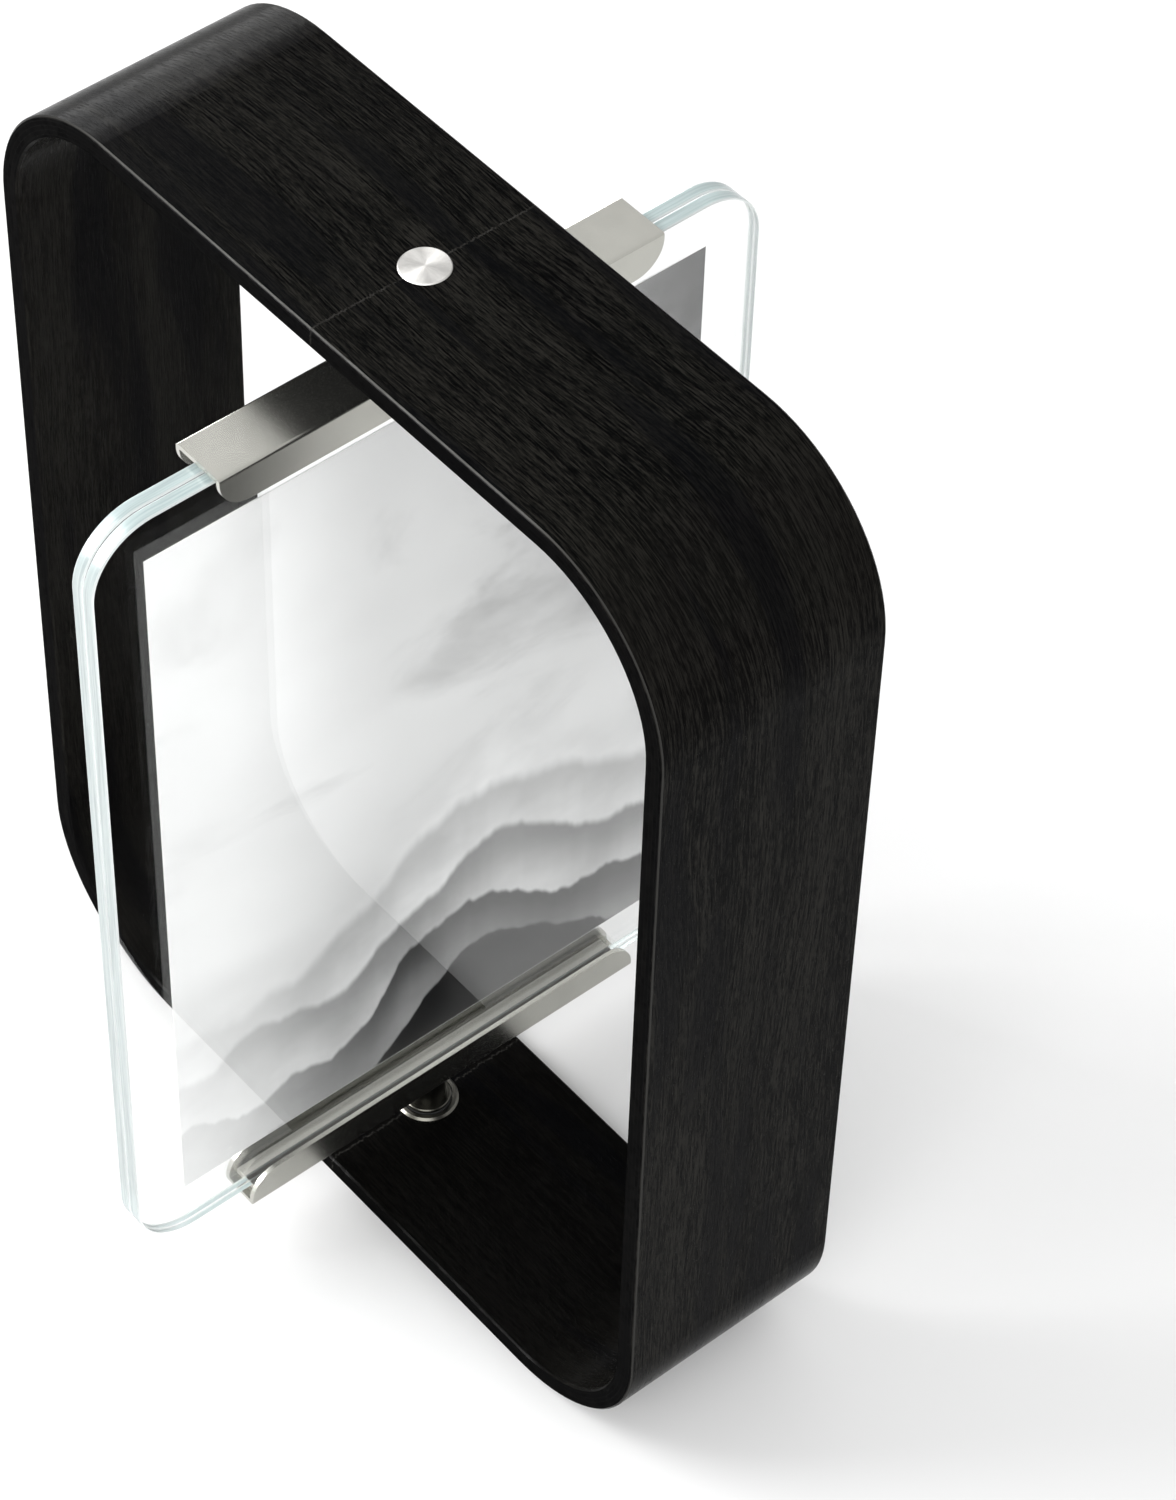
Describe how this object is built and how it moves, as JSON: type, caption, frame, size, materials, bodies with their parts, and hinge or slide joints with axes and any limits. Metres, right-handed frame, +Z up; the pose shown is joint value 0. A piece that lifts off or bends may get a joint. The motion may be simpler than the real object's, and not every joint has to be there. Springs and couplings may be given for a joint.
{
  "type": "swivel photo display",
  "caption": "Black bentwood loop that stands on a table and holds a flat two-pane glass photo pack, clamped in metal channels, which turns on an upright axis inside it.",
  "frame": {"origin": "on the table, under the middle of the loop's flat underside", "axes": "+X across the loop, +Y through the loop's depth and along the glass at rest, +Z up"},
  "size_m": [0.187, 0.151, 0.2382],
  "materials": {
    "face_veneer": "black stain, satin, open grain",
    "core_veneer": "black stain on the cut edge",
    "nickel": "satin nickel",
    "spun_metal": "spun circular brush",
    "channel_metal": "fine satin",
    "washer_plastic": "matte",
    "liner_plastic": "soft, translucent grey",
    "clear_glass": "clear, polished edges",
    "print_paper": "satin photo print"
  },
  "bodies": {
    "loop": {"left_outer_face_ply": "face_veneer", "left_outer_core_ply": "core_veneer", "left_centre_ply": "core_veneer", "left_inner_core_ply": "core_veneer", "left_inner_face_ply": "face_veneer", "right_outer_face_ply": "face_veneer", "right_outer_core_ply": "core_veneer", "right_centre_ply": "core_veneer", "right_inner_core_ply": "core_veneer", "right_inner_face_ply": "face_veneer", "top_bush": "nickel", "bottom_bush": "nickel", "top_thrust_washer": "washer_plastic", "bottom_thrust_washer": "washer_plastic"},
    "panel": {"top_pivot_pin": "spun_metal", "bottom_pivot_screw": "nickel", "top_hub": "nickel", "bottom_hub": "nickel", "top_channel": "channel_metal", "bottom_channel": "channel_metal", "top_liner": "liner_plastic", "bottom_liner": "liner_plastic", "front_pane": "clear_glass", "rear_pane": "clear_glass", "photo_print": "print_paper"}
  },
  "joints": [
    {"name": "panel_spin", "type": "hinge", "parent": "loop", "child": "panel", "pos_m": [0, 0, 0.119], "axis": [0, 0, 1], "continuous": true}
  ]
}
